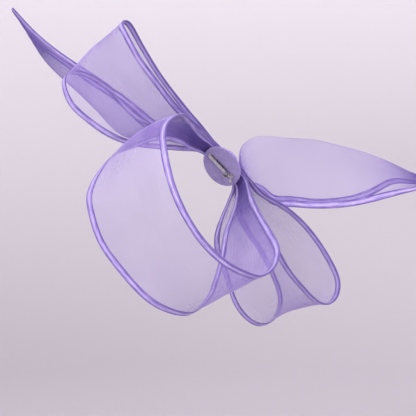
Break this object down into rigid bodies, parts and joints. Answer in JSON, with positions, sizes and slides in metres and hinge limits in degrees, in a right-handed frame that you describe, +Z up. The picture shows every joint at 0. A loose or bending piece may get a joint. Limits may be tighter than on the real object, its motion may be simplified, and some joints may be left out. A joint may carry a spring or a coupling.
{
  "type": "fascinator headpiece",
  "caption": "Looped ribbon fascinator: wide sheer ribbon with wired bound edges in tall loops and two folded tails, gathered under a knot on a small round base with a sprung hair clip.",
  "frame": {"origin": "middle of the base's felt face, where it lies on the back of the crown", "axes": "+X to the wearer's left, -Y the way the wearer faces, +Z up"},
  "size_m": [0.5234, 0.4493, 0.4742],
  "materials": {
    "organza": "sheer lilac organza with a fine plain weave",
    "bias_binding": "satin bias binding",
    "steel_wire": "drawn steel wire",
    "wool_felt": "wool felt",
    "buckram": "stiffened open weave",
    "plated_steel": "bright nickel plate",
    "sewing_thread": "sewing thread"
  },
  "bodies": {
    "headpiece": {"base_cover": "bias_binding", "base_disc": "buckram", "base_lining": "wool_felt", "base_rim_wire": "steel_wire", "clip_fixed_jaw": "plated_steel", "clip_pin": "plated_steel", "clip_spring": "steel_wire", "clip_tack_front": "sewing_thread", "clip_tack_middle": "sewing_thread", "clip_tack_rear": "sewing_thread", "knot_wrap": "organza", "loop_front_left_binding": "bias_binding", "loop_front_left_wire": "steel_wire", "loop_front_panel": "organza", "loop_front_right_binding": "bias_binding", "loop_front_right_wire": "steel_wire", "loop_lower_left_binding": "bias_binding", "loop_lower_left_wire": "steel_wire", "loop_lower_panel": "organza", "loop_lower_right_binding": "bias_binding", "loop_lower_right_wire": "steel_wire", "loop_upper_left_binding": "bias_binding", "loop_upper_left_wire": "steel_wire", "loop_upper_panel": "organza", "loop_upper_right_binding": "bias_binding", "loop_upper_right_wire": "steel_wire", "tail_left_left_binding": "bias_binding", "tail_left_left_wire": "steel_wire", "tail_left_panel": "organza", "tail_left_right_binding": "bias_binding", "tail_left_right_wire": "steel_wire", "tail_right_left_binding": "bias_binding", "tail_right_left_wire": "steel_wire", "tail_right_panel": "organza", "tail_right_right_binding": "bias_binding", "tail_right_right_wire": "steel_wire"},
    "clip_jaw": {"clip_moving_jaw": "plated_steel"}
  },
  "joints": [
    {"name": "clip_hinge", "type": "hinge", "parent": "headpiece", "child": "clip_jaw", "pos_m": [0.0072, -0.00008, -0.01092], "axis": [0.8, -0.2817, 0.5298], "range_deg": [0, 30], "stiffness_Nm_per_rad": 0.03, "springref_deg": -20.05, "deforming": ["clip_spring"]}
  ]
}
